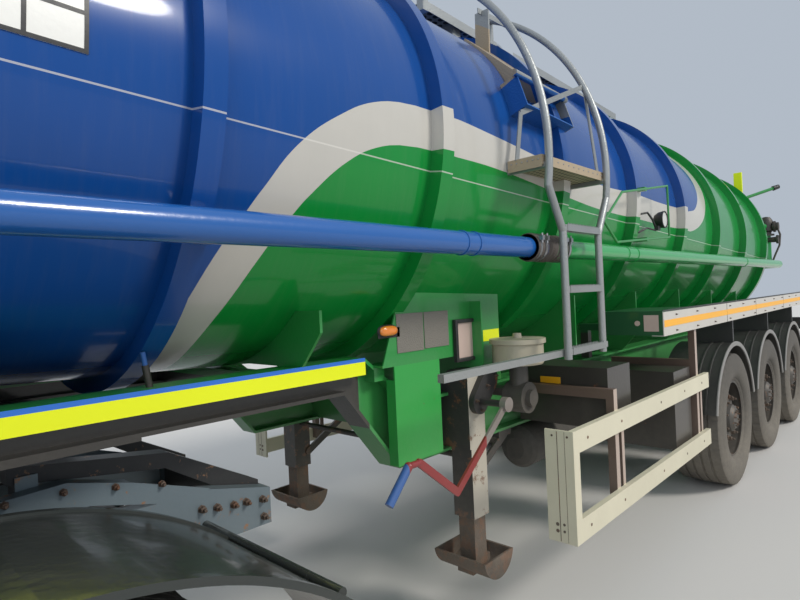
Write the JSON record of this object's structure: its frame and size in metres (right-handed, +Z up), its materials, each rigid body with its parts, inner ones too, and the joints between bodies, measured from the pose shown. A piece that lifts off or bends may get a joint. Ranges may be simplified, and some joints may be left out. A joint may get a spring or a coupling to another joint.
{
  "type": "articulated tanker truck",
  "caption": "Articulated lorry: blue tractor unit with a ringed, sloping vacuum tank on a semi-trailer, for carrying liquid waste by road.",
  "frame": {"origin": "on the ground, at the middle of the overall length and width", "axes": "+X forward along the vehicle, +Y to its left, +Z up"},
  "size_m": [13.35, 2.98, 3.3695],
  "materials": {
    "tank_paint": "gloss green paint, light road dirt",
    "frame_green": "gloss dark green paint",
    "cab_blue": "gloss blue paint",
    "pipe_blue": "gloss blue paint",
    "frame_blue": "satin grey-blue chassis paint",
    "board_white": "white powder coat",
    "guard_cream": "cream powder coat",
    "galvanised": "galvanised",
    "black_metal": "satin black paint, some rust",
    "leg_paint": "worn black paint",
    "crank_red": "worn red paint, blue sleeve on the grip",
    "bare_cast": "greasy cast iron",
    "polished_lid": "satin aluminium",
    "tank_alloy": "brushed aluminium",
    "black_plastic": "grained black plastic",
    "guard_grey": "satin dark grey plastic",
    "bag_rubber": "matt rubber",
    "tyre_rubber": "matt, dusty",
    "rim_paint": "satin dark grey paint",
    "canister_cream": "cream plastic",
    "red_lens": "clear red plastic",
    "lamp_lens": "clear lens",
    "window_glass": "clear glass",
    "seat_fabric": "dark grey woven",
    "dash_plastic": "grained dark grey",
    "valve_steel": "stainless steel"
  },
  "bodies": {
    "trailer": {"tank_shell": "tank_paint", "manway_collars": "tank_paint", "trailer_frame": "frame_green", "trailer_axles": "black_metal", "trailer_air_springs": "bag_rubber", "trailer_mudguards": "black_plastic", "side_boards": "board_white", "side_guards": "guard_cream", "leg_housings": "leg_paint", "leg_crank": "crank_red", "side_cabinet": "frame_green", "suction_pipe": "pipe_blue", "access_ladder": "galvanised", "top_walkway": "galvanised", "trap_canister": "canister_cream", "rear_bumper": "black_metal", "rear_lamps": "red_lens", "outlet_valve": "valve_steel"},
    "manway_lid": {"manway_lid": "polished_lid"},
    "rear_door": {"rear_door": "tank_paint"},
    "leg_feet": {"leg_feet": "leg_paint"},
    "tractor": {"tractor_frame": "frame_blue", "fifth_wheel": "bare_cast", "cab_shell": "cab_blue", "cab_front": "black_plastic", "windscreen": "window_glass", "front_bumper": "cab_blue", "headlamps": "lamp_lens", "engine_block": "bare_cast", "seats": "seat_fabric", "dashboard": "dash_plastic", "side_tanks": "tank_alloy", "tractor_mudguards": "guard_grey", "tractor_axles": "black_metal"},
    "door_left": {"door_left": "cab_blue", "door_glass_left": "window_glass"},
    "knuckle_left": {"knuckle_left": "bare_cast"},
    "front_wheel_left": {"front_tyre_left": "tyre_rubber", "front_rim_left": "rim_paint"},
    "drive_wheel_left": {"drive_tyres_left": "tyre_rubber", "drive_rims_left": "rim_paint"},
    "trailer_wheel_left_1": {"trailer_tyre_left_1": "tyre_rubber", "trailer_rim_left_1": "rim_paint"},
    "trailer_wheel_left_2": {"trailer_tyre_left_2": "tyre_rubber", "trailer_rim_left_2": "rim_paint"},
    "trailer_wheel_left_3": {"trailer_tyre_left_3": "tyre_rubber", "trailer_rim_left_3": "rim_paint"},
    "door_right": {"door_right": "cab_blue", "door_glass_right": "window_glass"},
    "knuckle_right": {"knuckle_right": "bare_cast"},
    "front_wheel_right": {"front_tyre_right": "tyre_rubber", "front_rim_right": "rim_paint"},
    "drive_wheel_right": {"drive_tyres_right": "tyre_rubber", "drive_rims_right": "rim_paint"},
    "trailer_wheel_right_1": {"trailer_tyre_right_1": "tyre_rubber", "trailer_rim_right_1": "rim_paint"},
    "trailer_wheel_right_2": {"trailer_tyre_right_2": "tyre_rubber", "trailer_rim_right_2": "rim_paint"},
    "trailer_wheel_right_3": {"trailer_tyre_right_3": "tyre_rubber", "trailer_rim_right_3": "rim_paint"}
  },
  "joints": [
    {"name": "articulation", "type": "hinge", "parent": "trailer", "child": "tractor", "pos_m": [2.095, 0, 1.16], "axis": [0, 0, 1], "range_deg": [-85, 85]},
    {"name": "manway_lid_hinge", "type": "hinge", "parent": "trailer", "child": "manway_lid", "pos_m": [-1.74878, 0, 3.30536], "axis": [0, -1, 0], "range_deg": [0, 105]},
    {"name": "rear_door_hinge", "type": "hinge", "parent": "trailer", "child": "rear_door", "pos_m": [-6.43212, 0.355, 2.01441], "axis": [0.0365, 0, -0.9993], "range_deg": [0, 110]},
    {"name": "landing_legs", "type": "slide", "parent": "trailer", "child": "leg_feet", "axis": [0, 0, -1], "range_m": [0, 0.24]},
    {"name": "door_left_hinge", "type": "hinge", "parent": "tractor", "child": "door_left", "pos_m": [6.235, 1.228, 1.65], "axis": [0, 0, -1], "range_deg": [0, 70]},
    {"name": "steer_left", "type": "hinge", "parent": "tractor", "child": "knuckle_left", "pos_m": [5.295, 0.89, 0.507], "axis": [0, 0, 1], "range_deg": [-38, 38]},
    {"name": "front_wheel_left_spin", "type": "hinge", "parent": "knuckle_left", "child": "front_wheel_left", "pos_m": [5.295, 1.02, 0.507], "axis": [0, 1, 0], "continuous": true},
    {"name": "drive_wheel_left_spin", "type": "hinge", "parent": "tractor", "child": "drive_wheel_left", "pos_m": [1.595, 0.9215, 0.507], "axis": [0, 1, 0], "continuous": true},
    {"name": "trailer_wheel_left_1_spin", "type": "hinge", "parent": "trailer", "child": "trailer_wheel_left_1", "pos_m": [-3.155, 1.0575, 0.52], "axis": [0, 1, 0], "continuous": true},
    {"name": "trailer_wheel_left_2_spin", "type": "hinge", "parent": "trailer", "child": "trailer_wheel_left_2", "pos_m": [-4.465, 1.0575, 0.52], "axis": [0, 1, 0], "continuous": true},
    {"name": "trailer_wheel_left_3_spin", "type": "hinge", "parent": "trailer", "child": "trailer_wheel_left_3", "pos_m": [-5.775, 1.0575, 0.52], "axis": [0, 1, 0], "continuous": true},
    {"name": "door_right_hinge", "type": "hinge", "parent": "tractor", "child": "door_right", "pos_m": [6.235, -1.228, 1.65], "axis": [0, 0, 1], "range_deg": [0, 70]},
    {"name": "steer_right", "type": "hinge", "parent": "tractor", "child": "knuckle_right", "pos_m": [5.295, -0.89, 0.507], "axis": [0, 0, 1], "range_deg": [-38, 38]},
    {"name": "front_wheel_right_spin", "type": "hinge", "parent": "knuckle_right", "child": "front_wheel_right", "pos_m": [5.295, -1.02, 0.507], "axis": [0, 1, 0], "continuous": true},
    {"name": "drive_wheel_right_spin", "type": "hinge", "parent": "tractor", "child": "drive_wheel_right", "pos_m": [1.595, -0.9215, 0.507], "axis": [0, 1, 0], "continuous": true},
    {"name": "trailer_wheel_right_1_spin", "type": "hinge", "parent": "trailer", "child": "trailer_wheel_right_1", "pos_m": [-3.155, -1.0575, 0.52], "axis": [0, 1, 0], "continuous": true},
    {"name": "trailer_wheel_right_2_spin", "type": "hinge", "parent": "trailer", "child": "trailer_wheel_right_2", "pos_m": [-4.465, -1.0575, 0.52], "axis": [0, 1, 0], "continuous": true},
    {"name": "trailer_wheel_right_3_spin", "type": "hinge", "parent": "trailer", "child": "trailer_wheel_right_3", "pos_m": [-5.775, -1.0575, 0.52], "axis": [0, 1, 0], "continuous": true}
  ],
  "couplings": [
    {"joint": "steer_right", "follows": "steer_left", "ratio": 1}
  ]
}
